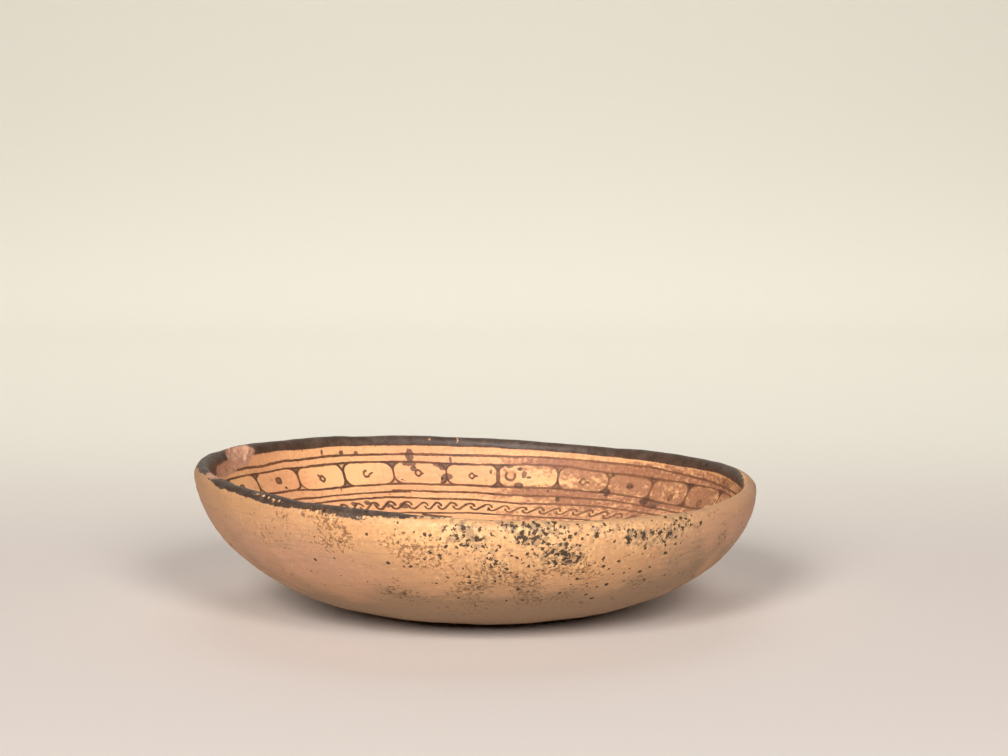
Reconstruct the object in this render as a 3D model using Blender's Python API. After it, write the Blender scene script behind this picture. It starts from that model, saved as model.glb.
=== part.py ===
"""Shallow hand-built pottery bowl: one piece of fired clay, rounded below, with a worn flat to stand on.

Metres, +Z up. The origin lies under the middle of the bowl, on the surface it stands on.
A bearing is an angle in plan, from the back of the bowl (+Y) by the right (+X) to the front (-Y).
"""

import math

import bmesh
import bpy
from mathutils import Matrix, Vector

# Height and girth
BOWL_HEIGHT = 0.0492        # top of the lip above the underside, as a mean round the bowl
BELLY_RADIUS = 0.1020       # the widest part, close under the lip
BELLY_DROP = 0.0035         # from the top of the lip down to the widest part
LIP_TURN_IN = 0.0035        # how far the top of the lip stands inside the widest part
FOOT_RADIUS = 0.0160        # the flat spot worn under the bowl
FOOT_OFFSET = 0.0013        # the flat spot's distance to the right of the rim's centre

# Thickness of the clay
WALL = 0.0058
FLOOR = 0.0070

# The side bulges more than an ellipse: these powers of a superellipse say how much
SIDE_POWER = 1.76
FLOOR_POWER = 2.43

# The rim isn't level. Each wave: high spots round the rim, height of the wave, bearing of a high spot
RIM_WAVES = (
    (1, 0.0039, -90),
    (2, 0.0011, 83),
    (3, 0.0004, -40),
    (4, 0.0002, -15),
)

# Nor is it quite round. Each wave: bulges round the plan, how far they stand out, bearing of a bulge
PLAN_WAVES = (
    (2, 0.0005, 42),
    (3, 0.0004, 150),
)

# Clay lost from the lip. Each chip: bearing, length along the rim, reach down the inside, depth,
# how steeply the broken face looks up, and the place of its middle below the top of the lip
CHIPS = (
    (-69, 0.0160, 0.0150, 0.0014, 38, 0.0026),
    (-110, 0.0100, 0.0050, 0.0011, 60, 0.0006),
)

# Fineness of the mesh
COLUMNS = 96
SIDE_ROWS = 15
LIP_ROWS = 4
CHIP_FINENESS = 3


def wave_sum(waves, bearing):
    """The waves' joint height at a bearing in radians."""
    return sum(height * math.cos(count * (bearing - math.radians(peak))) for count, height, peak in waves)


def side_line(top_radius, top_height, foot_radius, foot_height, rows):
    """(radius, height) pairs from just under the belly down to the edge of the flat."""
    line = []
    for row in range(1, rows + 1):
        fall = math.sin(row / rows * math.pi / 2)
        spread = (1 - fall**SIDE_POWER) ** (1 / FLOOR_POWER)
        radius = foot_radius + (top_radius - foot_radius) * spread
        height = top_height - (top_height - foot_height) * fall
        line.append((radius, height))
    return line


def lip_line(edge_radius, rows):
    """(radius, height) pairs along a quarter ellipse from the top of the lip to the wall at edge_radius."""
    top_radius = BELLY_RADIUS - LIP_TURN_IN
    line = []
    for row in range(rows + 1):
        turn = row / rows * math.pi / 2
        radius = top_radius + (edge_radius - top_radius) * math.sin(turn)
        height = BOWL_HEIGHT - BELLY_DROP * (1 - math.cos(turn))
        line.append((radius, height))
    return line


def wall_section():
    """The wall cut through, from the middle of the underside, over the lip, to the middle of the floor."""
    belly_height = BOWL_HEIGHT - BELLY_DROP
    inner_radius = BELLY_RADIUS - WALL
    outside = lip_line(BELLY_RADIUS, LIP_ROWS)
    outside += side_line(BELLY_RADIUS, belly_height, FOOT_RADIUS, 0, SIDE_ROWS)
    inside = lip_line(inner_radius, LIP_ROWS)
    inside += side_line(inner_radius, belly_height, FOOT_RADIUS, FLOOR, SIDE_ROWS)
    return [(0, 0)] + outside[::-1] + inside[1:] + [(0, FLOOR)]


def shaped(point):
    """A point of the true round bowl, moved to where the hand-built one has it."""
    bearing = math.atan2(point.x, point.y)
    rise = point.z / BOWL_HEIGHT
    outward = Vector((math.sin(bearing), math.cos(bearing), 0))
    moved = point.copy()
    if math.hypot(point.x, point.y) > FOOT_RADIUS / 2:
        moved += outward * rise * wave_sum(PLAN_WAVES, bearing)
        moved.z += rise * wave_sum(RIM_WAVES, bearing)
    moved.x += (1 - rise) * FOOT_OFFSET
    return moved


def fired_clay():
    material = bpy.data.materials.new("fired_clay")
    material.use_nodes = True
    shader = material.node_tree.nodes["Principled BSDF"]
    shader.inputs["Base Color"].default_value = (0.56, 0.32, 0.17, 1)
    shader.inputs["Roughness"].default_value = 0.62
    shader.inputs["Metallic"].default_value = 0
    material.diffuse_color = (0.56, 0.32, 0.17, 1)
    return material


def turned_bowl(name):
    """The section spun into a round bowl, then given its uneven rim and plan."""
    outline = bmesh.new()
    section = [outline.verts.new((radius, 0, height)) for radius, height in wall_section()]
    edges = [outline.edges.new(pair) for pair in zip(section, section[1:])]
    bmesh.ops.spin(
        outline,
        geom=section + edges,
        axis=(0, 0, 1),
        cent=(0, 0, 0),
        angle=math.tau,
        steps=COLUMNS,
        use_merge=True,
    )
    bmesh.ops.remove_doubles(outline, verts=outline.verts, dist=1e-6)
    for vertex in outline.verts:
        vertex.co = shaped(vertex.co)
    bmesh.ops.recalc_face_normals(outline, faces=outline.faces)
    mesh = bpy.data.meshes.new(name)
    outline.to_mesh(mesh)
    outline.free()
    bowl = bpy.data.objects.new(name, mesh)
    bpy.context.collection.objects.link(bowl)
    return bowl


def chip_cutter(name, bearing, length, reach, depth, look_up, drop):
    """An egg that scoops the chip: half of its thickness lies in the clay, the other half above it."""
    turn = math.radians(bearing)
    outward = Vector((math.sin(turn), math.cos(turn), 0))
    along = Vector((math.cos(turn), -math.sin(turn), 0))
    tip = math.radians(look_up)
    facing = -outward * math.cos(tip) + Vector((0, 0, math.sin(tip)))
    down = along.cross(facing)
    inner_lip = outward * (BELLY_RADIUS - WALL) + Vector((0, 0, BOWL_HEIGHT - drop))
    thickness = 2 * depth
    centre = shaped(inner_lip) + facing * depth
    # the egg's cut at half its thickness is this much narrower than the egg
    narrowing = math.sqrt(3) / 2
    size = (length / 2 / narrowing, thickness, reach / 2 / narrowing)
    turned = Matrix((along, facing, down)).transposed().to_4x4()
    placed = Matrix.Translation(centre) @ turned @ Matrix.Diagonal((*size, 1))
    egg = bmesh.new()
    bmesh.ops.create_icosphere(egg, subdivisions=CHIP_FINENESS, radius=1)
    bmesh.ops.transform(egg, matrix=placed, verts=egg.verts)
    bmesh.ops.recalc_face_normals(egg, faces=egg.faces)
    mesh = bpy.data.meshes.new(name)
    egg.to_mesh(mesh)
    egg.free()
    cutter = bpy.data.objects.new(name, mesh)
    cutter.hide_render = True
    cutter.display_type = "WIRE"
    bpy.context.collection.objects.link(cutter)
    return cutter


def centre_in_plan(bowl):
    """Brings the middle of the bowl's plan over the origin, and says how far it moved."""
    across = [vertex.co.x for vertex in bowl.data.vertices]
    deep = [vertex.co.y for vertex in bowl.data.vertices]
    shift = Vector((-(min(across) + max(across)) / 2, -(min(deep) + max(deep)) / 2, 0))
    bowl.data.transform(Matrix.Translation(shift))
    return shift


for leftover in list(bpy.data.objects):
    bpy.data.objects.remove(leftover)

bowl = turned_bowl("bowl")
bowl.data.materials.append(fired_clay())
plan_shift = centre_in_plan(bowl)
for number, chip in enumerate(CHIPS, start=1):
    cutter = chip_cutter(f"chip_cutter_{number}", *chip)
    cutter.location = plan_shift
    cut = bowl.modifiers.new(f"Chip {number}", "BOOLEAN")
    cut.operation = "DIFFERENCE"
    cut.object = cutter
bowl.data.shade_smooth()
bowl.data.set_sharp_from_angle(angle=math.radians(50))
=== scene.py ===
import math

import bpy
import numpy as np
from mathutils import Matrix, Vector


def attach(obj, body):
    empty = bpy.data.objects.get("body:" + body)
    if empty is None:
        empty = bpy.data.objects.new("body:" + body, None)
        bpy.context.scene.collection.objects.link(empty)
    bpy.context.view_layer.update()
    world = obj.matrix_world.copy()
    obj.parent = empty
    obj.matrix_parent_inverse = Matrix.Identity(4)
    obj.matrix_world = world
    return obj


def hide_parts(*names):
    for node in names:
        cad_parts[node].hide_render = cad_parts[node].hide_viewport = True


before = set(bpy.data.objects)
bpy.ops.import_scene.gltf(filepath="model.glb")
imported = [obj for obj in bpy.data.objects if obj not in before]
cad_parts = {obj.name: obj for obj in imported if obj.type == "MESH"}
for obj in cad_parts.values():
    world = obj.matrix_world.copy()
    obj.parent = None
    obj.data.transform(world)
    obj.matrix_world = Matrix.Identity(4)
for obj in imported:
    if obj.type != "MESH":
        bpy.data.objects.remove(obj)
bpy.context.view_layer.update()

# The camera. It stands a little over a metre in front of the bowl and slightly above its lip,
# with a long lens, so that it looks across the front of the lip on to the painted back wall.
PHOTO_WIDTH = 1008          # in pixels, as the focal length is
FOCAL_LENGTH = 3000
SENSOR = 36
CAMERA_PLACE = (0.0102, -1.0789, 0.2108)
LOOKS_DOWN = 6.73
lens = bpy.data.cameras.new("camera")
lens.sensor_width = SENSOR
lens.lens = FOCAL_LENGTH / PHOTO_WIDTH * SENSOR
camera = bpy.data.objects.new("camera", lens)
camera.location = CAMERA_PLACE
camera.rotation_euler = (math.radians(90 - LOOKS_DOWN), 0, 0)
bpy.context.collection.objects.link(camera)
bpy.context.scene.camera = camera

# The bowl's wall. It was built up from coils of red-buff clay, scraped thin, smoothed by hand and
# fired in the open. The lip turns in a little, is chipped at the left and isn't level; the rounded
# base is worn to a small flat, on which the bowl stands by its own weight.
MM = 0.001
BOWL_HEIGHT = 0.0492        # top of the lip above the underside, as a mean round the bowl
BELLY_RADIUS = 0.1020       # the widest part, close under the lip
BELLY_DROP = 0.0035         # from the top of the lip down to the widest part
LIP_TURN_IN = 0.0035        # how far the top of the lip stands inside the widest part
FOOT_RADIUS = 0.0160        # the flat spot worn under the bowl
FOOT_OFFSET = 0.0013        # the flat spot's distance to the right of the rim's centre
WALL = 0.0058
FLOOR = 0.0070
SIDE_POWER = 1.76           # these powers of a superellipse say how much the side bulges
FLOOR_POWER = 2.43

# Waves of the lip and of the plan: high spots round the bowl, height, bearing of a high spot.
# A bearing is an angle in plan, from the back of the bowl by the right to the front.
RIM_WAVES = ((1, 0.0039, -90), (2, 0.0011, 83), (3, 0.0004, -40), (4, 0.0002, -15))
PLAN_WAVES = ((2, 0.0005, 42), (3, 0.0004, 150))

# Chips: bearing, length along the lip, reach down the inside, depth, look-up angle, drop below the lip
CHIPS = (
    (-69, 0.0160, 0.0150, 0.0014, 38, 0.0026),
    (-110, 0.0100, 0.0050, 0.0011, 60, 0.0006),
)

# The mesh: columns round the bowl, and rows down both sides of the wall, in mm. The columns are closer
# together at the chips (bearing, half width, how much closer), and the rows grow past the fine ones.
COLUMNS = 570
FINE_SPOTS = ((-72, 20, 2.4), (-111, 9, 1.6))
FINE_ROW = 0.40
FINE_UNTIL = 12
INSIDE_GROWTH = 0.042
OUTSIDE_GROWTH = 0.060
LIP_STEPS = 40
SIDE_STEPS = 400
rng = np.random.default_rng(7)


def wall_line(edge_radius, foot_height):
    """(radius, height) along one side of the wall, from the top of the lip to the middle of the base."""
    turn = np.linspace(0, math.pi / 2, LIP_STEPS)
    lip_radius = BELLY_RADIUS - LIP_TURN_IN
    lip_radius = lip_radius + (edge_radius - lip_radius) * np.sin(turn)
    lip_height = BOWL_HEIGHT - BELLY_DROP * (1 - np.cos(turn))
    fall = np.sin(np.linspace(0, math.pi / 2, SIDE_STEPS)[1:])
    spread = np.clip(1 - fall**SIDE_POWER, 0, 1) ** (1 / FLOOR_POWER)
    side_radius = FOOT_RADIUS + (edge_radius - FOOT_RADIUS) * spread
    side_height = BOWL_HEIGHT - BELLY_DROP - (BOWL_HEIGHT - BELLY_DROP - foot_height) * fall
    radius = np.concatenate((lip_radius, side_radius, [0]))
    height = np.concatenate((lip_height, side_height, [foot_height]))
    return radius, height


def rows_along(line, growth):
    """The line read at rows that are close together near the lip: (radius, height, mm from the lip)."""
    radius, height = line
    run = np.concatenate(([0], np.cumsum(np.hypot(np.diff(radius), np.diff(height))))) / MM
    places = [0.0]
    while places[-1] < run[-1]:
        places.append(places[-1] + FINE_ROW + growth * max(0, places[-1] - FINE_UNTIL))
    places = np.array(places) * run[-1] / places[-1]
    return np.interp(places, run, radius), np.interp(places, run, height), places


def turned(bearing, centre):
    """A bearing less another one, between -180 and 180 degrees."""
    return (bearing - centre + 180) % 360 - 180


def waves(kinds, bearing):
    """The waves' joint height at a bearing."""
    return sum(tall * np.cos(count * np.radians(bearing - peak)) for count, tall, peak in kinds)


def shaped(x, y, z):
    """A point of the true round bowl, moved to where the hand-built one has it."""
    bearing = np.degrees(np.arctan2(x, y))
    rise = z / BOWL_HEIGHT
    away = np.hypot(x, y) > FOOT_RADIUS / 2
    bulge = away * rise * waves(PLAN_WAVES, bearing)
    moved_x = x + bulge * np.sin(np.radians(bearing)) + (1 - rise) * FOOT_OFFSET
    moved_y = y + bulge * np.cos(np.radians(bearing))
    return np.stack((moved_x, moved_y, z + away * rise * waves(RIM_WAVES, bearing)), -1)


def dapple(points, size, count=28):
    """Soft random light and dark over the points, about one unit strong, with patches of that size."""
    way = rng.normal(size=(count, 3))
    way *= (2 * math.pi / size / np.linalg.norm(way, axis=1) * rng.uniform(0.6, 1.4, count))[:, None]
    start = rng.uniform(0, 2 * math.pi, count)
    total = np.zeros(points.shape[:-1])
    for direction, phase in zip(way, start):
        total += np.cos(points @ direction + phase)
    return total * math.sqrt(2 / count)


outer = rows_along(wall_line(BELLY_RADIUS, 0), OUTSIDE_GROWTH)
inner = rows_along(wall_line(BELLY_RADIUS - WALL, FLOOR), INSIDE_GROWTH)
row_radius, row_height, row_down = (
    np.concatenate((out[::-1], side[1:])) for out, side in zip(outer, inner)
)
lip_row = len(outer[0]) - 1
row_down[:lip_row] *= -1

degrees = np.linspace(-180, 180, 3601)
closeness = 1 + sum(more * np.exp(-((turned(degrees, at) / wide) ** 2)) for at, wide, more in FINE_SPOTS)
share = np.concatenate(([0], np.cumsum((closeness[1:] + closeness[:-1]) / 2)))
column_bearing = np.interp(np.arange(COLUMNS) / COLUMNS, share / share[-1], degrees)

# B and D say where each point of the mesh lies: its bearing, and how far it is from the top of the
# lip along the wall in mm, inside above 0 and outside below 0
B, D = np.meshgrid(column_bearing, row_down)
radius, height = row_radius[:, None], row_height[:, None]
wall = shaped(radius * np.sin(np.radians(B)), radius * np.cos(np.radians(B)), height + 0 * B)
across_middle = (wall[..., 0].min() + wall[..., 0].max()) / 2
deep_middle = (wall[..., 1].min() + wall[..., 1].max()) / 2
plan_shift = Vector((-across_middle, -deep_middle, 0))
wall += np.array(plan_shift)

# The hand's work: soft unevenness all over, small nicks along the lip, and the broken chips.
# All of it goes into the clay, so that the bowl keeps its size. The depths are in mm.
FOOT_FADE = 0.010
SCRAPED = 0.16
WIPED_ROUND = 0.05
NICKED = 0.26
RUBBED_AWAY = 0.30
lengthwise = np.gradient(wall, axis=0)
sidewise = (np.roll(wall, -1, 1) - np.roll(wall, 1, 1)) / 2
into_clay = np.cross(lengthwise, sidewise)
into_clay /= np.maximum(np.linalg.norm(into_clay, axis=2, keepdims=True), 1e-12)
outside_row = lip_row - 12
outward_there = wall[outside_row, 0] - np.array([0, 0, wall[outside_row, 0, 2]])
if into_clay[outside_row, 0] @ outward_there > 0:
    into_clay *= -1
off_foot = np.clip((radius - FOOT_RADIUS) / FOOT_FADE, 0, 1)
relief = SCRAPED * (1 + np.clip(dapple(wall, 0.030), -1, 1)) * MM
relief += WIPED_ROUND * (1 + np.clip(dapple(wall * (1, 1, 3), 0.010), -1, 1)) * MM
front = np.clip((np.abs(B) - 80) / 40, 0, 1)
near_lip = np.exp(-((D / 1.8) ** 2)) * (0.25 + 0.75 * front)
relief += near_lip * np.clip(dapple(wall, 0.0045) - 0.9, 0, 1.2) * NICKED * MM
relief += near_lip * np.clip(dapple(wall, 0.012) - 0.8, 0, 1) * RUBBED_AWAY * MM
grid = wall + into_clay * (relief * off_foot)[..., None]

# Each chip is scooped out by an egg that lies half in the clay, and its broken face is left rough
for bearing, length, reach, depth, look_up, drop in CHIPS:
    turn = math.radians(bearing)
    tip = math.radians(look_up)
    outward = Vector((math.sin(turn), math.cos(turn), 0))
    along = Vector((math.cos(turn), -math.sin(turn), 0))
    facing = -outward * math.cos(tip) + Vector((0, 0, math.sin(tip)))
    middle = outward * (BELLY_RADIUS - WALL) + Vector((0, 0, BOWL_HEIGHT - drop))
    middle = Vector(shaped(*middle)) + plan_shift + facing * depth
    narrowing = math.sqrt(3) / 2
    size = np.array((length / 2 / narrowing, 2 * depth, reach / 2 / narrowing))
    axes = np.array((along, facing, along.cross(facing))).T
    ragged = 1 + 0.06 * dapple(grid, 0.004)[..., None]
    local = (grid - np.array(middle)) @ axes / size * ragged
    across = np.hypot(local[..., 0], local[..., 2])
    bottom = -np.sqrt(np.clip(1 - across**2, 0, 1))
    inside = (across < 1) & (local[..., 1] > bottom)
    rough = 0.10 * MM * dapple(grid, 0.0022) + 0.12 * MM * dapple(grid, 0.0050)
    dig = np.where(inside, (bottom - local[..., 1]) * size[1] - np.abs(rough), 0)
    grid += np.array(facing) * dig[..., None]

rows = len(row_down)
points = grid[1:-1].reshape(-1, 3)
poles = (rows - 2) * COLUMNS
points = np.concatenate((points, grid[0, :1], grid[-1, :1]))
faces = []
face_rows = []
face_columns = []
for row in range(rows - 1):
    for column in range(COLUMNS):
        after = (column + 1) % COLUMNS
        low = [(row - 1) * COLUMNS + column, (row - 1) * COLUMNS + after]
        high = [row * COLUMNS + after, row * COLUMNS + column]
        low_places = [(row, column), (row, column + 1)]
        high_places = [(row + 1, column + 1), (row + 1, column)]
        if row == 0:
            low, low_places = [poles], [(0, column + 0.5)]
        elif row == rows - 2:
            high, high_places = [poles + 1], [(row + 1, column + 0.5)]
        places = low_places + high_places
        faces.append(low + high)
        face_rows += [place[0] for place in places]
        face_columns += [place[1] for place in places]
bowl_mesh = bpy.data.meshes.new("bowl_wall")
bowl_mesh.from_pydata(points, [], faces)
bowl_mesh.shade_smooth()
bowl = bpy.data.objects.new("painted_bowl", bowl_mesh)
bpy.context.collection.objects.link(bowl)

# Where the painter's work lies on the wall. The rings weren't measured out: each one wanders a
# little up and down, and the cells differ in width. The scroll's waves were set out by eye too.
# Where each ring was meant to run, in mm down from the lip
BAND_EDGE = 5.0
UPPER_RING = 8.3
CELL_TOP = 11.4
CELL_BOTTOM = 20.8
SCROLL_TOP = 27.5
SCROLL_BOTTOM = 35.2
# and where it does run, as (bearing, mm down)
RINGS = {
    BAND_EDGE: ((-96, 7.4), (-77, 8.4), (-66, 4.6), (-45, 5.1), (5, 4.6), (50, 5.5), (75, 5.0)),
    UPPER_RING: ((-60, 9.4), (-45, 8.5), (-10, 8.1), (25, 7.3), (42, 7.5), (60, 8.8), (72, 9.5)),
    CELL_TOP: ((-74, 11.1), (-60, 11.7), (-28, 11.1), (0, 11.6), (20, 10.5), (42, 12.3), (73, 10.9)),
    CELL_BOTTOM: ((-67, 19.2), (-42, 21.0), (-20, 20.3), (0, 21.0), (32, 20.5), (55, 21.8), (77, 19.4)),
    SCROLL_TOP: ((-44, 26.7), (-25, 26.4), (11, 28.9), (33, 27.5)),
    SCROLL_BOTTOM: ((-22, 34.6), (0, 35.3), (19, 35.8)),
}
# Bearings of the lines between the cells and of the scroll's crests, as far as they can be seen.
# The rest are spread evenly, to these numbers of cells and waves in all.
BORDERS = (-63.9, -48.6, -34.6, -21.6, -8.1, 4.3, 19.5, 32.4, 45.1, 58.1, 73.1)
CRESTS = (-15.2, -11.6, -7.6, -2.7, 2.1, 6.7)
CREST_SHARE = 0.04          # the share of a wave at which its crest is drawn
CELLS = 26
CELL_WIDTH = 21.7
WAVES = 76


def counted(bearing, marks, total):
    """The bearing counted in marks that are set round the bowl: the given ones first, then even ones."""
    places = list(marks) + [marks[0] + 360]
    numbers = list(range(len(marks))) + [total]
    around = (bearing - marks[0]) % 360
    lap = np.floor((bearing - marks[0]) / 360)
    return np.interp(around + marks[0], places, numbers) + lap * total


def meant(bearing, down):
    """Where the painter meant this place to be, in mm down from the lip: the rings straighten out."""
    wander = [0.0]
    for ring, known in RINGS.items():
        at = [place[0] for place in known]
        off = [place[1] - ring for place in known]
        far = [at[-1] + 25, at[0] + 335, at[0] + 360]
        wander.append(np.interp((bearing - at[0]) % 360 + at[0], at + far, off + [0.2, -0.2, off[0]]))
    levels = [0.0] + list(RINGS)
    drawn = np.stack([level + shift + 0 * bearing for level, shift in zip(levels, wander)])
    value = np.array(down, dtype=float)
    for step in range(len(levels) - 1):
        low, high = drawn[step], drawn[step + 1]
        here = (down >= low) & (down < high)
        part = levels[step] + (down - low) / (high - low) * (levels[step + 1] - levels[step])
        value = np.where(here, part, value)
    return np.where(down >= drawn[-1], down - drawn[-1] + levels[-1], value)


face_rows = np.array(face_rows)
face_columns = np.array(face_columns)
edge_bearing = np.append(column_bearing, 180.0)
edge_bearing = np.interp(face_columns, np.arange(COLUMNS + 1), edge_bearing)
corner_down = row_down[face_rows]


def add_map(name, across, up):
    """Two numbers for every corner of every face, kept with the mesh."""
    layer = bowl_mesh.uv_layers.new(name=name)
    layer.data.foreach_set("uv", np.stack((across, up), 1).astype(np.float32).ravel())


# The unrolled skin: one disc for the inside and one for the outside
DISC_RADIUS = 0.285
INSIDE_DISC = 0.29
OUTSIDE_DISC = 0.71
loop_start = np.zeros(len(faces), dtype=np.int32)
loop_total = np.zeros(len(faces), dtype=np.int32)
bowl_mesh.polygons.foreach_get("loop_start", loop_start)
bowl_mesh.polygons.foreach_get("loop_total", loop_total)
lowest = np.minimum.reduceat(face_rows, loop_start)
on_inside = np.repeat(lowest >= lip_row, loop_total)
reach_in = np.where(on_inside, row_down[-1], -row_down[0])
disc = DISC_RADIUS * (1 - np.abs(corner_down) / reach_in)
disc_turn = np.radians(edge_bearing)
centre = np.where(on_inside, INSIDE_DISC, OUTSIDE_DISC)
add_map("OFBake", centre + disc * np.sin(disc_turn), centre + disc * np.cos(disc_turn))
down_meant = meant(edge_bearing, corner_down)
add_map("Paint", counted(edge_bearing, BORDERS, CELLS), down_meant)
add_map("Scroll", counted(edge_bearing, CRESTS, WAVES) + CREST_SHARE, down_meant)


def add_values(name, *values):
    """Four numbers for every point of the mesh, kept with it."""
    layer = bowl_mesh.attributes.new(name, "FLOAT_COLOR", "POINT")
    stack = np.stack([np.broadcast_to(value, B.shape) for value in values], -1)
    flat = np.concatenate((stack[1:-1].reshape(-1, 4), stack[0, :1], stack[-1, :1]))
    layer.data.foreach_set("color", flat.astype(np.float32).ravel())


# The mark in each cell: place right and up of the cell's middle, radius, squareness (1 a diamond,
# 2 round, 4 square), bearing and length of its tail, how open it is, and how full of grey wash.
# The marks after these ones are drawn by chance, like them.
MARKS = [
    (1.1, 0.4, 1.05, 3.0, 0, 0.0, 0.0, 0.9),
    (0.5, -0.3, 1.15, 1.3, 138, 1.0, 0.0, 0.1),
    (-0.7, 0.1, 1.15, 2.2, 25, 1.4, 1.0, 0.0),
    (-0.3, 0.2, 1.30, 1.6, 0, 0.5, 0.0, 0.1),
    (0.0, -0.1, 1.20, 1.3, 3, 0.8, 0.0, 0.0),
    (-6.4, 0.2, 1.80, 2.0, 80, 0.0, 0.6, 0.2),
    (-0.4, -0.5, 1.30, 1.8, 10, 1.2, 0.3, 0.3),
    (0.2, 0.0, 1.20, 2.0, 150, 0.7, 0.4, 0.5),
    (2.2, -1.9, 1.10, 1.6, 60, 1.0, 0.0, 0.3),
    (-1.1, -2.3, 1.30, 1.7, 30, 0.0, 0.0, 0.2),
]
# The corners between two cells: how dark they are at the top and at the bottom, and how much
# thicker the line between the two cells is, in mm
CORNERS = [
    (0.7, 0.2, 0.0),
    (1.0, 0.1, 0.1),
    (0.2, 0.8, 0.1),
    (1.1, 0.1, 0.0),
    (0.7, 0.1, 0.1),
    (0.9, 0.8, 0.9),
    (0.2, 0.5, 0.0),
    (0.3, 1.0, 0.0),
    (0.5, 1.0, 0.6),
    (0.9, 0.6, 0.2),
    (0.6, 0.4, 0.0),
]
while len(MARKS) < CELLS:
    shape = rng.choice((1.3, 2.0, 2.0, 3.2))
    tail = rng.choice((0.0, 0.8, 1.4))
    MARKS.append(
        (
            *rng.uniform(-0.6, 0.6, 2),
            rng.uniform(1.05, 1.3),
            shape,
            rng.uniform(0, 360),
            tail,
            rng.choice((0.0, 0.0, 1.0)),
            rng.uniform(0, 0.6),
        )
    )
while len(CORNERS) < CELLS:
    CORNERS.append((*rng.uniform(0, 1, 2), rng.uniform(-0.1, 0.5)))

cell_count = counted(B, BORDERS, CELLS)
mark = np.array(MARKS)[np.floor(cell_count).astype(int) % CELLS]
corner = np.array(CORNERS)[np.round(cell_count).astype(int) % CELLS]
tail_turn = np.radians(mark[..., 4])
add_values("mark_ring", mark[..., 0], mark[..., 1], mark[..., 2], mark[..., 3])
add_values("mark_tail", np.cos(tail_turn), np.sin(tail_turn), mark[..., 5], mark[..., 6])
add_values("corner", corner[..., 0], corner[..., 1], corner[..., 2], mark[..., 7])


# Wear, stains and firing clouds, where the bowl shows them. Each spot: bearing, mm down from the
# lip, half width in degrees, half height in mm, strength. A minus means the outside.
def ramp(value, low, high):
    """A soft step from 0 at low to 1 at high."""
    share = np.clip((value - low) / (high - low), 0, 1)
    return share * share * (3 - 2 * share)


def around(stops):
    """A value that changes round the bowl, from (bearing, value) stops."""
    at = [stop[0] for stop in stops]
    value = [stop[1] for stop in stops]
    return np.interp((B - at[0]) % 360 + at[0], at + [at[0] + 360], value + [value[0]])


def spots(places):
    """The soft spots added up over the wall."""
    total = 0
    for at, down, wide, tall, strength in places:
        total = total + strength * np.exp(-((turned(B, at) / wide) ** 2) - ((D - down) / tall) ** 2)
    return total


inside_wall = ramp(D, -0.6, 0.6)
cloudy = dapple(wall, 0.050)
patchy = dapple(wall, 0.016)
grainy = dapple(wall, 0.006)

# How far the dark band of the lip reaches down the outside, and how worn it is
BAND_REACH = (
    (-180, 0.5),
    (-172, 1.9),
    (-166, 3.0),
    (-157, 5.0),
    (-150, 4.6),
    (-136, 4.7),
    (-124, 4.1),
    (-117, 3.6),
    (-108, 2.2),
    (-95, 2.6),
    (-75, 1.2),
    (-40, 2.4),
    (0, 1.8),
    (40, 2.6),
    (75, 0.6),
    (90, -1.4),
    (120, -1.3),
    (160, -1.0),
    (178, -0.2),
)
band_reach = around(BAND_REACH) + 0.2 * grainy
BAND_WEAR = (
    (-180, 0.54),
    (-172, 0.47),
    (-164, 0.37),
    (-155, 0.31),
    (-120, 0.30),
    (-70, 0.27),
    (0, 0.29),
    (60, 0.27),
    (120, 0.45),
)
band_wear = around(BAND_WEAR) + 0.02 * patchy
band_wear = band_wear + spots(
    (
        (-12, 2, 1.2, 1.5, 0.25),
        (-5.2, 2, 1.2, 1.5, 0.25),
        (-112, 0, 4, 2.2, 0.30),
        (-133, -2.2, 2.5, 1.0, 0.20),
        (-138, -2.8, 2.0, 1.0, 0.18),
        (-149, -4.3, 6, 0.9, 0.16),
        (-156, -1.0, 1.6, 1.6, 0.15),
        (-160, -3.8, 4, 0.9, 0.16),
    )
)

# The bare clay of the chips, as a distance in mm inside its edge, from patches that are given as
# bearing, mm down, half width in degrees and half height in mm
BROKEN = ((-68.5, 3.6, 6.2, 4.6), (-76.5, 7.2, 7.5, 2.6), (-111.5, -0.2, 4.0, 2.2))
FAR_OFF = -9.0
broken = FAR_OFF + 0 * B
for at, down, wide, tall in BROKEN:
    away = np.hypot(turned(B, at) / wide, (D - down) / tall)
    broken = np.maximum(broken, (1 - away) * tall)

# Soft grey smears, where ink was wiped or soot has settled
smear = spots(
    (
        (-18, 31.0, 4.0, 1.6, 0.6),
        (4.0, 14.5, 2.0, 3.5, 0.3),
        (11, 21.5, 3.0, 1.6, 0.5),
        (20, 14.0, 5.0, 3.0, 0.2),
        (47, 22.5, 4.0, 2.2, 0.5),
        (50, 12.0, 9.0, 2.0, 0.3),
        (-90, 22.0, 9.0, 5.0, 0.3),
    )
)
smear = np.clip(smear * (1 + 0.3 * patchy), 0, 1) * inside_wall

# The violet-brown stain that has soaked into the right half of the inside
stain = ramp(B, -12, 24) * ramp(B, 150, 100) * (0.58 + 0.08 * cloudy + 0.06 * patchy)
stain = stain + spots(
    (
        (15, 9.8, 9, 1.6, 0.25),
        (13, 23, 9, 2.5, 0.35),
        (38, 10, 16, 2.0, 0.25),
        (40, 15, 8, 3.5, 0.2),
        (22, 26, 9, 3, 0.15),
        (66, 15, 9, 8, 0.2),
        (-50, 24, 16, 5, 0.10),
        (-64, 16, 5, 9, 0.20),
        (-100, 20, 30, 14, 0.3),
        (13, 16.0, 4.5, 3.0, -0.30),
        (23, 17, 5, 2.8, -0.22),
        (16, 6.3, 14, 1.0, -0.45),
    )
)
stain = np.clip(stain + 0.06, 0, 1) * ramp(D, 4.5, 6.5) * ramp(D, 95, 50)
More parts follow.
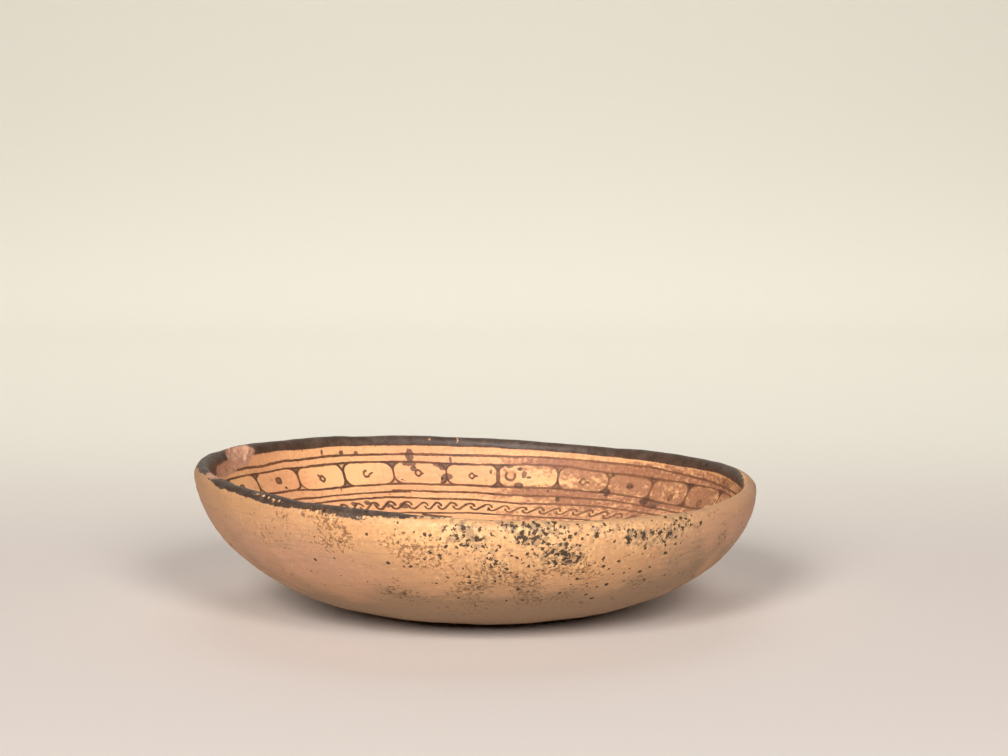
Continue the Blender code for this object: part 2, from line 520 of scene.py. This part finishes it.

# Pink and yellow in the clay, and a dull grey-buff: partly fire clouds, partly painted shade low on the
# outside
shade_and_fire_clouds = spots(
    (
        (150, -46, 60, 16, 0.9),
        (200, -50, 40, 14, 0.7),
        (128, -26, 22, 18, 0.5),
        (10, -30, 50, 25, 0.4),
        (-60, -52, 50, 15, 0.5),
    )
)
# painted shade: the outside grows darker towards its bottom
shade_and_fire_clouds = shade_and_fire_clouds + 0.65 * ramp(D, -46, -60)
shade_and_fire_clouds = np.clip(shade_and_fire_clouds + 0.10 * cloudy + 0.12 * patchy, 0, 1)
pink = spots(
    (
        (-60, 14, 14, 12, 0.9),
        (218, -28, 26, 14, 0.7),
        (105, -12, 24, 14, 0.9),
        (-60, -20, 40, 18, 0.5),
        (30, -18, 30, 10, 0.4),
    )
)
pink = np.clip(pink + 0.12 * cloudy, 0, 1)
yellow = spots(
    (
        (190, -7, 42, 8, 0.9),
        (165, -20, 22, 9, 0.4),
        (-40, -8, 40, 6, 0.5),
        (60, -10, 30, 7, 0.4),
    )
)
yellow = np.clip(yellow + 0.10 * patchy, 0, 1)

# Where soot specks lie thick, and where finer rusty freckles do
speckled = spots(
    (
        (164, -8, 29, 10, 0.72),
        (182, -6, 4, 5, 0.62),
        (176, -5, 4, 4, 0.52),
        (169, -5, 6, 4, 0.40),
        (162, -11, 5, 4, 0.20),
        (146, -9, 6, 5, 0.45),
        (138, -7, 5, 5, 0.50),
        (131, -3, 3, 3, 0.30),
        (176, -17, 6, 4, 0.45),
        (164, -18, 8, 4, 0.20),
        (197, -4, 6, 3, 0.30),
        (165, -28, 36, 12, 0.32),
        (60, -20, 30, 14, 0.30),
        (-20, -14, 22, 9, 0.25),
    )
)
speckled = np.clip(speckled * (1 + 0.30 * patchy), 0, 1.2)
freckled = spots(
    (
        (206, -9, 16, 8, 1.1),
        (165, -22, 36, 14, 0.9),
        (120, -14, 16, 10, 0.6),
        (0, -12, 60, 10, 0.6),
        (175, -36, 50, 9, 0.50),
        (190, -54, 70, 14, 0.5),
        (230, -12, 20, 14, 0.5),
    )
)
freckled = np.clip(freckled * (1 + 0.4 * patchy), 0, 1.2)
add_values("wear", band_wear, broken, band_reach, smear)
# the tone: the stain, painted shade with fire clouds, pink and yellow
add_values("tone", stain, shade_and_fire_clouds, pink, yellow)
add_values("grime", speckled, freckled, np.clip(0.5 + 0.25 * cloudy, 0, 1), 0.0)

# The clay's surface: a pale cream-orange slip wiped on and burnished, then a dark iron paint
# brushed on in thin, uneven strokes. Use and burial have worn, stained and specked it.
clay = bpy.data.materials.new("slipped_clay")
clay.use_nodes = True
tree = clay.node_tree
shader = tree.nodes["Principled BSDF"]


class Varied:
    """A number that varies over the surface: an output of one of the material's nodes."""

    def __init__(self, socket):
        self.socket = socket

    def __add__(self, other):
        return maths("ADD", self, other)

    def __sub__(self, other):
        return maths("SUBTRACT", self, other)

    def __rsub__(self, other):
        return maths("SUBTRACT", other, self)

    def __mul__(self, other):
        return maths("MULTIPLY", self, other)

    __radd__ = __add__
    __rmul__ = __mul__


def feed(socket, value):
    """Sets a socket, or links it where the value varies."""
    if isinstance(value, Varied):
        tree.links.new(value.socket, socket)
    else:
        socket.default_value = value


def maths(operation, *values):
    node = tree.nodes.new("ShaderNodeMath")
    node.operation = operation
    for socket, value in zip(node.inputs, values):
        feed(socket, value)
    return Varied(node.outputs[0])


def between(value, low, high):
    """0 below low and 1 above high, or the other way round where high is the smaller."""
    node = tree.nodes.new("ShaderNodeMapRange")
    node.interpolation_type = "SMOOTHSTEP"
    for name, number in (("Value", value), ("From Min", low), ("From Max", high)):
        feed(node.inputs[name], number)
    return Varied(node.outputs[0])


def least(first, second):
    return maths("MINIMUM", first, second)


def most(first, *others):
    for other in others:
        first = maths("MAXIMUM", first, other)
    return first


def size_of(value):
    return maths("ABSOLUTE", value)


def length_of(across, up):
    return maths("SQRT", across * across + up * up)


def blended(first, second, share):
    """The second colour laid over the first by a share."""
    node = tree.nodes.new("ShaderNodeMix")
    node.data_type = "RGBA"
    feed(node.inputs[0], share)
    feed(node.inputs[6], first)
    feed(node.inputs[7], second)
    return Varied(node.outputs[2])


def colour(red, green, blue):
    """A colour named as on a screen, from 0 to 255."""
    return tuple(((part / 255 + 0.055) / 1.055) ** 2.4 for part in (red, green, blue)) + (1,)


def split(socket):
    node = tree.nodes.new("ShaderNodeSeparateXYZ")
    tree.links.new(socket, node.inputs[0])
    return [Varied(node.outputs[index]) for index in range(3)]


def carried(name):
    """The four numbers that the mesh carries under this name."""
    node = tree.nodes.new("ShaderNodeAttribute")
    node.attribute_name = name
    return split(node.outputs["Vector"]) + [Varied(node.outputs["Alpha"])]


def mapped(name):
    node = tree.nodes.new("ShaderNodeUVMap")
    node.uv_map = name
    return split(node.outputs[0])[:2]


millimetres = tree.nodes.new("ShaderNodeVectorMath")
millimetres.operation = "SCALE"
millimetres.inputs["Scale"].default_value = 1 / MM
spot_on_clay = tree.nodes.new("ShaderNodeTexCoord")
tree.links.new(spot_on_clay.outputs["Object"], millimetres.inputs[0])


def stretched(size, flatness, seed):
    """Places on the clay in units of that size in mm, squeezed in height where flatness is above 1."""
    node = tree.nodes.new("ShaderNodeMapping")
    node.inputs["Scale"].default_value = (1 / size, 1 / size, flatness / size)
    node.inputs["Location"].default_value = (seed * 7.3, seed * 3.1, seed * 5.7)
    tree.links.new(millimetres.outputs[0], node.inputs["Vector"])
    return node.outputs[0]


def noise(size, seed, detail=2.0, flatness=1.0, rough=0.5):
    """A noise of that size in mm, flattened where flatness is above 1."""
    node = tree.nodes.new("ShaderNodeTexNoise")
    node.inputs["Scale"].default_value = 1
    node.inputs["Detail"].default_value = detail
    node.inputs["Roughness"].default_value = rough
    tree.links.new(stretched(size, flatness, seed), node.inputs["Vector"])
    return node


def clouds(*settings, **more):
    """Even noise from about -1 to 1."""
    return (Varied(noise(*settings, **more).outputs["Fac"]) - 0.5) * 3.2


# The painter's hand: long sways and a short tremble, in mm, and a brush pressed now more, now less.
# down is in mm from the lip's top, and cell_place and wave_place count cells and waves round the bowl.
cell_place, down = mapped("Paint")
wave_place, scroll_down = mapped("Scroll")
sway = split(noise(16, 1, detail=1).outputs["Color"])
tremble = split(noise(2.4, 2, detail=1).outputs["Color"])
sway_across = (sway[0] - 0.5) * 1.5 + (tremble[0] - 0.5) * 0.55
sway_up = (sway[1] - 0.5) * 1.0 + (tremble[1] - 0.5) * 0.50
press = 1.0 + 0.32 * clouds(7, 3) + 0.14 * clouds(1.6, 4)
across = cell_place + sway_across * (1 / CELL_WIDTH)
drawn = down + sway_up


def stroke(distance, width, soft=0.16):
    """How much paint a brush line leaves, from the distance to its middle and its width in mm."""
    return between(distance - press * width * 0.5, soft, -soft)


# Lines that run round the bowl
LINE = 0.95
ring_lines = most(
    stroke(size_of(drawn - UPPER_RING), LINE),
    stroke(size_of(drawn - CELL_TOP), LINE * 0.9),
    stroke(size_of(drawn - CELL_BOTTOM), LINE),
    stroke(size_of(drawn - SCROLL_TOP), LINE),
    stroke(size_of(drawn - SCROLL_BOTTOM), LINE),
)
# One ring was closed badly: its two ends, given in cells round the bowl, run past each other
LOOSE_RING = 24.0
LOOSE_GAP = 0.7
LOOSE_START = 2.89
LOOSE_END = 3.27
from_start = drawn - LOOSE_RING - (cell_place - LOOSE_START) * (LOOSE_GAP / CELLS)
begun = between(cell_place, LOOSE_START - 0.02, LOOSE_START + 0.02)
ended = between(cell_place, LOOSE_END + 0.02, LOOSE_END - 0.02)
first_part = stroke(size_of(from_start), LINE) * begun
last_part = stroke(size_of(from_start - LOOSE_GAP), LINE) * ended
# and one short slanted stroke lies under the scroll
SLANT_DOWN = 36.1
SLANT_STEEPNESS = 2.6
slant = size_of(drawn - SLANT_DOWN - (cell_place - 3.35) * SLANT_STEEPNESS)
short_stroke = stroke(slant, 1.3) * between(cell_place, 3.33, 3.38) * between(cell_place, 4.02, 3.97)
ring_lines = most(ring_lines, first_part, last_part, short_stroke)

# Rounded cells that share their borders
CORNER_RADIUS = 3.9
in_cell = (maths("FRACT", across) - 0.5) * CELL_WIDTH
to_border = CELL_WIDTH / 2 - size_of(in_cell)
to_ring = least(drawn - CELL_TOP, CELL_BOTTOM - drawn)
corner_across = CORNER_RADIUS - to_border
corner_up = CORNER_RADIUS - to_ring
rounded = length_of(most(corner_across, 0.0), most(corner_up, 0.0))
rounded = rounded + least(most(corner_across, corner_up), 0.0) - CORNER_RADIUS
corner_top, corner_bottom, thicker, centre_wash = carried("corner")
zone = between(to_ring, -0.35, 0.0)
border = stroke(to_border, LINE + thicker) * between(to_ring, 1.8, 3.0)
cell_lines = most(stroke(size_of(rounded), LINE), border) * zone
lower = between(drawn, 15.4, 16.8)
corner_dark = least((corner_top + (corner_bottom - corner_top) * lower) * 1.5, 1.0)
bare_spots = between(clouds(1.5, 26, detail=2), 0.5, 0.8)
corner_fill = between(rounded, -0.1, 0.4) * zone * corner_dark * (1.0 - bare_spots)
in_panel = between(rounded, 0.3, -0.3) * zone

# A small ring or lozenge in each cell, some with a tail
MARK_MIDDLE = 16.2
MARK_LINE = 0.95
TAIL_LINE = 0.9
ring_right, ring_up, ring_radius, squareness = carried("mark_ring")
tail_right, tail_up, tail_length, opening = carried("mark_tail")
mark_x = in_cell - ring_right
mark_y = MARK_MIDDLE - drawn - ring_up
power_x = maths("POWER", size_of(mark_x), squareness)
power_y = maths("POWER", size_of(mark_y), squareness)
mark_away = maths("POWER", power_x + power_y, maths("DIVIDE", 1.0, squareness))
along_tail = mark_x * tail_right + mark_y * tail_up
beside_tail = mark_x * tail_up - mark_y * tail_right
towards = maths("DIVIDE", along_tail, most(length_of(mark_x, mark_y), 0.01))
ring_gap = between(towards, 0.55, 0.8) * opening
mark_ring = stroke(size_of(mark_away - ring_radius), MARK_LINE) * (1.0 - ring_gap)
half_tail = tail_length * 0.5
past_ends = most(size_of(along_tail - ring_radius - half_tail) - half_tail, 0.0)
tail_away = length_of(beside_tail - opening * 0.7, past_ends)
mark_tail = stroke(tail_away, TAIL_LINE) * between(tail_length, 0.05, 0.1)
mark_wash = between(mark_away - ring_radius, 0.0, -0.6) * centre_wash * 0.9
marks = most(mark_ring, mark_tail)

# The running scroll: slanted strokes that hook over at the top and under at the bottom. Places are
# in mm to the right and up of the middle of a stroke. The hook bends about its own middle, on the
# side that it faces, as far as a span that is given as a cosine.
PITCH = 6.2
FIRST_STROKE = 4.15
SCROLL_MIDDLE = 31.3
HOOK_MIDDLE = (2.3, 0.3)
HOOK_RADIUS = 1.4
HOOK_START = (1.32, 1.30)
HOOK_END = (1.4, 0.0)
HOOK_FACES = (0.388, 0.922)
HOOK_SPAN = 0.388
wave_in = maths("FRACT", wave_place + sway_across * (0.6 / PITCH)) * PITCH
wave_up = SCROLL_MIDDLE - scroll_down - sway_up


def scroll_stroke(start):
    """Distance to the middle of one stroke, which looks the same turned half round."""
    right = wave_in - start
    side = maths("SIGN", right)
    x = size_of(right)
    y = wave_up * side
    run = HOOK_START[0] ** 2 + HOOK_START[1] ** 2
    part = (x * HOOK_START[0] + y * HOOK_START[1]) * (1 / run)
    part = least(most(part, 0.0), 1.0)
    straight = length_of(x - part * HOOK_START[0], y - part * HOOK_START[1])
    hook_x = x - HOOK_MIDDLE[0]
    hook_y = y - HOOK_MIDDLE[1]
    hook_away = length_of(hook_x, hook_y)
    facing_hook = hook_x * HOOK_FACES[0] + hook_y * HOOK_FACES[1]
    in_hook = maths("GREATER_THAN", facing_hook, hook_away * HOOK_SPAN)
    bend = size_of(hook_away - HOOK_RADIUS)
    tip = length_of(hook_x - HOOK_END[0], hook_y - HOOK_END[1])
    return least(straight, tip + (bend - tip) * in_hook)


scroll_away = least(scroll_stroke(FIRST_STROKE), scroll_stroke(FIRST_STROKE - PITCH))
scroll = stroke(scroll_away, LINE)

# Blots, dabs and stray touches of the brush. Each: bearing, mm down, half width and half height
BLOTS = (
    (-54.0, 18.7, 0.7, 0.6),
    (-39.5, 6.8, 0.5, 0.9),
    (-37.0, 21.6, 0.3, 1.0),
    (-34.2, 7.3, 0.9, 0.8),
    (-30.4, 7.4, 0.8, 0.6),
    (-19.7, 18.5, 0.5, 0.4),
    (-16.9, 8.9, 1.5, 2.4),
    (-17.2, 12.0, 2.8, 0.9),
    (-16.2, 13.9, 1.3, 1.1),
    (-10.1, 12.2, 1.8, 0.9),
    (-8.7, 13.4, 1.6, 0.9),
    (-8.0, 17.2, 2.2, 1.4),
    (-9.0, 19.2, 1.1, 1.0),
    (-35.5, 28.8, 1.3, 1.0),
    (-31.3, 28.6, 1.6, 1.0),
    (-29.2, 30.3, 0.9, 0.8),
    (-25.6, 30.4, 1.1, 1.2),
    (-21.2, 30.8, 1.8, 1.4),
    (-6.9, 10.0, 0.5, 1.2),
    (2.6, 14.4, 0.5, 0.9),
    (7.2, 11.9, 1.2, 0.7),
    (9.6, 20.1, 1.6, 1.2),
    (9.8, 13.1, 0.8, 0.7),
    (10.9, 15.2, 0.9, 1.3),
    (12.2, 16.4, 0.8, 0.5),
    (20.2, 25.8, 1.0, 0.9),
    (33.1, 20.6, 1.3, 1.5),
    (38.9, 16.7, 1.6, 0.7),
    (44.9, 22.6, 2.4, 1.2),
    (49.1, 23.8, 1.3, 0.9),
)
blot_away = 9.0             # beyond every blot
for bearing, blot_down, wide, tall in BLOTS:
    place = float(counted(bearing, BORDERS, CELLS))
    level = float(meant(np.array(bearing), np.array(blot_down)))
    blot_x = (across - place) * (CELL_WIDTH / wide)
    blot_y = (drawn - level) * (1 / tall)
    blot_away = least(blot_x * blot_x + blot_y * blot_y, blot_away)
blots = between(blot_away + 0.55 * clouds(1.1, 25, detail=2), 1.6, 0.9)

# The dark band over the lip: jagged and flaked where it has worn
band_wear_here, broken_here, reach_here, smear_here = carried("wear")
# the tone's second number is painted shade with fire clouds, low on the outside
stain_here, shade_and_clouds_here, pink_here, yellow_here = carried("tone")
specks_here, freckles_here, cloud_here = carried("grime")[:3]
jagged = 0.35 * clouds(5.0, 5, detail=2) + 0.40 * clouds(1.1, 6, detail=3, rough=0.6)
band_inside = between(drawn - BAND_EDGE + 0.25 * jagged, 0.22, -0.22)
band_outside = between(down + reach_here + jagged, -0.25, 0.25)
flaking = clouds(1.5, 7, detail=3, rough=0.65) * 0.20 + 0.5
near_edge = between(down + reach_here, 1.6, 0.0) * between(down, 0.0, -0.5)
band_kept = between(flaking - band_wear_here - 0.06 * near_edge, -0.02, 0.04)
band = band_inside * band_outside * band_kept

# What the paint looks like: watery in places, from warm brown to violet grey
watery = clouds(9, 8, detail=3)
thin_paint = 0.92 + 0.10 * watery + 0.06 * clouds(0.9, 9)
line_paint = most(ring_lines, cell_lines, marks, scroll) * between(down, 0.5, 2.0)
rubbed = between(clouds(3.2, 10, detail=3) + 0.3 * clouds(22, 11), 1.6, 0.9)
line_paint = line_paint * thin_paint * (0.45 + 0.55 * rubbed)
wiped = between(smear_here + 0.25 * clouds(2.0, 27, detail=3), 0.25, 0.55)
wash = most(corner_fill * 0.95, mark_wash, wiped * 0.6, blots * 0.92)
wash = wash * (0.88 + 0.2 * clouds(1.5, 12, detail=3))

# The colours of the paint, the slip, the stain, the clay and the soot
LINE_BROWN = colour(88, 52, 32)
LINE_DARK = colour(66, 44, 36)
WASH_GREY = colour(72, 52, 44)
BAND_DARK = colour(42, 34, 31)
BAND_PALE = colour(88, 73, 66)
CREAM = colour(234, 178, 124)
CREAM_PINK = colour(224, 158, 112)
CREAM_PALE = colour(242, 198, 142)
PEACH = colour(206, 148, 106)
PEACH_DEEP = colour(200, 138, 98)
STAIN = colour(132, 80, 62)
STAIN_DEEP = colour(104, 64, 50)
BUFF = colour(184, 138, 98)
BUFF_YELLOW = colour(206, 150, 98)
BUFF_PINK = colour(186, 138, 111)
BUFF_SHADE_AND_STREAK = colour(136, 110, 82)
# a grey-buff for the painted shade low on the outside, and for the wiping streaks
BUFF_DARK = colour(112, 86, 62)
CLAY_PINK = colour(200, 150, 122)
CLAY_DEEP = colour(164, 118, 90)
SOOT = colour(34, 25, 16)
SOOT_GREY = colour(98, 80, 66)
RUST = colour(108, 72, 44)

# The slip of the inside, paler in the cells and pinker deep down, with its stain
inside_share = between(down, -0.7, 0.7)
fine_grain = clouds(0.7, 13, detail=3)
mottle = clouds(1.5, 28, detail=4, rough=0.6)
brushed = clouds(9, 14, detail=3, flatness=9)
inner_slip = blended(CREAM, CREAM_PINK, between(cloud_here + 0.25 * brushed + 0.3 * mottle, 0.4, 1.0))
wiped_pale = between(clouds(3.0, 29, detail=3, flatness=2.5), 0.3, 1.2)
inner_slip = blended(inner_slip, CREAM_PALE, wiped_pale * 0.6)
in_strips = (1.0 - in_panel) * between(mottle + 0.5 * brushed, -0.9, 0.9)
inner_slip = blended(inner_slip, PEACH, in_strips * 0.75)
pinker = least(pink_here + between(down, 26.0, 40.0) * 0.4, 1.0)
inner_slip = blended(inner_slip, PEACH_DEEP, pinker * (0.7 + 0.2 * mottle))
blotch = clouds(4.5, 15, detail=4, rough=0.6, flatness=2.4)
stained = between(stain_here + 0.36 * blotch + 0.24 * mottle, 0.30, 0.74)
stain_tint = blended(STAIN, STAIN_DEEP, between(clouds(2.2, 16, detail=3), 0.1, 1.2))
inner_slip = blended(inner_slip, stain_tint, stained * (0.74 + 0.12 * mottle))

# The slip of the outside, streaked by the wiping hand, paler along its crest, darkened below by painted
# shade and fire clouds
outer_slip = blended(BUFF, BUFF_PINK, pink_here)
outer_slip = blended(outer_slip, BUFF_YELLOW, yellow_here)
# painted shade, with the fire clouds, darkening the outside towards its bottom
shade_and_clouds_mask = between(shade_and_clouds_here + 0.22 * brushed + 0.20 * blotch, 0.05, 1.05)
outer_slip = blended(outer_slip, BUFF_SHADE_AND_STREAK, shade_and_clouds_mask * 0.85)
streaky = clouds(14, 17, detail=4, flatness=16)
skin = blended(outer_slip, inner_slip, inside_share)
on_outside = 1.0 - inside_share
crest = between(0.5 * specks_here + 0.4 * yellow_here + 0.5 * mottle, 0.15, 1.1)
skin = blended(skin, CREAM_PALE, crest * on_outside * 0.5)
skin = blended(skin, BUFF_SHADE_AND_STREAK, between(streaky + 0.7 * mottle, 0.0, 1.3) * on_outside * 0.55)
skin = blended(skin, BUFF_DARK, between(mottle, -0.1, -1.0) * on_outside * 0.35)
# pale grains, kept out of the painted shade low down
pale_grains = between(mottle, 0.2, 1.1) * between(shade_and_clouds_here, 0.9, 0.2)
skin = blended(skin, CREAM_PALE, pale_grains * on_outside * 0.50)
skin = blended(skin, CLAY_PINK, between(clouds(3.0, 18, detail=4), 0.7, 1.3) * 0.35)
skin = blended(skin, RUST, between(fine_grain, 0.7, 1.5) * 0.35)

# The paint over it: grey washes, brown lines and the dark band
skin = blended(skin, WASH_GREY, wash)
line_tint = blended(LINE_BROWN, LINE_DARK, between(watery + 0.5 * clouds(30, 19), -0.2, 0.9))
skin = blended(skin, line_tint, line_paint * (1.0 - 0.35 * stained))
band_tint = blended(BAND_DARK, BAND_PALE, between(clouds(3.6, 20, detail=4) + 0.5 * fine_grain, -0.7, 1.5))
flecks = band_inside * band_outside * between(flaking - band_wear_here, 0.02, -0.06)
skin = blended(skin, CREAM_PALE, flecks * on_outside * 0.6)
skin = blended(skin, band_tint, band * 0.95)

# Bare broken clay in the chips
broken_edge = between(broken_here + 0.7 * clouds(2.6, 21, detail=3), -0.35, 0.40)
bare_clay = blended(CLAY_PINK, CLAY_DEEP, between(clouds(1.8, 22, detail=4, rough=0.65), -0.5, 1.0))
skin = blended(skin, bare_clay, broken_edge)


# Black and brown specks: pits and specks of soot, thick in some places. The smallest one's radius is
# a share of its cell.
SMALLEST_SPECK = 0.12


def specks(size, seed, fullness, largest, flatness=1.0):
    """Round specks, one at most in each cell of that size in mm, in a share of the cells."""
    cells = tree.nodes.new("ShaderNodeTexVoronoi")
    cells.inputs["Scale"].default_value = 1
    cells.inputs["Randomness"].default_value = 1
    uneven = noise(size * 0.8, seed + 1, detail=2)
    shifted = tree.nodes.new("ShaderNodeVectorMath")
    shifted.operation = "MULTIPLY_ADD"
    shifted.inputs[1].default_value = (0.9, 0.9, 0.9)
    tree.links.new(uneven.outputs["Color"], shifted.inputs[0])
    tree.links.new(stretched(size, flatness, seed), shifted.inputs[2])
    tree.links.new(shifted.outputs[0], cells.inputs["Vector"])
    chance, girth = split(cells.outputs["Color"])[:2]
    present = between(chance - (1.0 - fullness), -0.02, 0.02)
    away = Varied(cells.outputs["Distance"])
    return between(away - (SMALLEST_SPECK + girth * largest), 0.06, -0.06) * present


sooty = between(down, 0.8, -0.4)
blotched = clouds(2.1, 31, detail=3, rough=0.6)
skin = blended(skin, SOOT_GREY, between(blotched + 0.85 * specks_here, 0.55, 1.20) * sooty * 0.60)
soot_bits = clouds(1.7, 33, detail=3, rough=0.6)
coarse_specks = between(soot_bits + 0.20 * blotched + 0.68 * specks_here, 0.86, 0.98) * sooty
small_specks = specks(1.8, 41, specks_here * 0.66 + 0.012, 0.33)
brown_bits = between(clouds(1.3, 51, detail=3, rough=0.7) + 0.66 * freckles_here, 0.70, 0.98) * sooty
# more brown dashes where the painted shade and fire clouds lie
dashes = specks(1.5, 45, 0.05 + shade_and_clouds_here * 0.08, 0.26, flatness=2.2)
skin = blended(skin, RUST, most(brown_bits, dashes) * 0.75)
black = most(coarse_specks, small_specks)
skin = blended(skin, SOOT, black * 0.90)
feed(shader.inputs["Base Color"], skin)

# The burnished slip has a faint sheen, the band a little more, and broken clay and soot none
roughness = 0.60 + 0.10 * fine_grain - 0.12 * band + 0.25 * broken_edge + 0.10 * black
feed(shader.inputs["Roughness"], roughness)
shader.inputs["Specular IOR Level"].default_value = 0.35
surface = 0.035 * fine_grain + 0.030 * clouds(2.5, 23, detail=2)
surface = surface + 0.16 * between(broken_here, -0.1, 0.25) * clouds(1.2, 24, detail=3)
bump = tree.nodes.new("ShaderNodeBump")
bump.inputs["Distance"].default_value = MM
bump.inputs["Strength"].default_value = 1
feed(bump.inputs["Height"], surface)
tree.links.new(bump.outputs[0], shader.inputs["Normal"])
bowl_mesh.materials.append(clay)

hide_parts("bowl")
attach(bowl, "root")

# The studio: a pale matt board that runs back and curves up behind the bowl into its backdrop
SWEEP_WIDTH = 3.4
FRONT_EDGE = -1.7
BEND_START = 0.95
BEND_RADIUS = 0.90
WALL_TOP = 2.0
BEND_STEPS = 24
profile = [(FRONT_EDGE, 0.0), (-0.6, 0.0), (0.0, 0.0), (BEND_START, 0.0)]
for step in range(1, BEND_STEPS + 1):
    angle = step / BEND_STEPS * math.pi / 2
    profile.append((BEND_START + BEND_RADIUS * math.sin(angle), BEND_RADIUS * (1 - math.cos(angle))))
profile.append((BEND_START + BEND_RADIUS, WALL_TOP))
sweep_points = [(side * SWEEP_WIDTH / 2, y, z) for y, z in profile for side in (-1, 1)]
sweep_faces = [(2 * i, 2 * i + 1, 2 * i + 3, 2 * i + 2) for i in range(len(profile) - 1)]
sweep_mesh = bpy.data.meshes.new("sweep")
sweep_mesh.from_pydata(sweep_points, [], sweep_faces)
sweep_mesh.shade_smooth()
sweep = bpy.data.objects.new("sweep", sweep_mesh)
bpy.context.collection.objects.link(sweep)
board = bpy.data.materials.new("matt_board")
board.use_nodes = True
tree = board.node_tree
shader = tree.nodes["Principled BSDF"]
spot_on_board = tree.nodes.new("ShaderNodeTexCoord")
backwards = split(spot_on_board.outputs["Object"])[1]
FLOOR_TINT = colour(222, 210, 201)
WALL_TINT = colour(240, 234, 219)
# painted shade: the backdrop is tinted darker from the bend up, in place of the light falling off
TOP_SHADE_TINT = colour(226, 219, 204)
board_tint = blended(FLOOR_TINT, WALL_TINT, between(backwards, 0.05, 0.5))
board_tint = blended(board_tint, TOP_SHADE_TINT, between(backwards, 1.0, 1.5))
feed(shader.inputs["Base Color"], board_tint)
shader.inputs["Roughness"].default_value = 0.7
shader.inputs["Specular IOR Level"].default_value = 0.2
sweep_mesh.materials.append(board)

# Soft light: two tall diffused lamps in front, left and right, a weak one above and behind the
# bowl, one that only lights the backdrop, and a dim room.
# Each lamp: place, what it points at, width and height in metres, power in watts, spread in degrees
LAMPS = (
    ("left_lamp", (-0.80, -2.30, 1.23), (0, 0, 0), 0.70, 1.10, 72, 180),
    ("right_lamp", (0.80, -2.30, 1.23), (0, 0, 0), 0.70, 1.10, 55, 180),
    ("back_lamp", (0.0, 0.90, 1.40), (0, 0.5, 0), 1.00, 1.00, 3.5, 180),
    ("backdrop_lamp", (0.0, 0.95, 1.50), (0, 0.95, 0), 1.60, 0.60, 2.0, 75),
)
for name, place, target, width, height, power, spread in LAMPS:
    lamp_data = bpy.data.lights.new(name, "AREA")
    lamp_data.shape = "RECTANGLE"
    lamp_data.size = width
    lamp_data.size_y = height
    lamp_data.energy = power
    lamp_data.spread = math.radians(spread)
    lamp = bpy.data.objects.new(name, lamp_data)
    lamp.location = place
    lamp.rotation_mode = "QUATERNION"
    lamp.rotation_quaternion = (Vector(target) - Vector(place)).to_track_quat("-Z", "Y")
    bpy.context.collection.objects.link(lamp)
ROOM_LIGHT = 0.02
room = bpy.data.worlds.new("room")
room.use_nodes = True
room_glow = room.node_tree.nodes["Background"]
room_glow.inputs["Color"].default_value = (1.0, 1.0, 1.0, 1)
room_glow.inputs["Strength"].default_value = ROOM_LIGHT
bpy.context.scene.world = room
bpy.context.scene.view_settings.view_transform = "Standard"
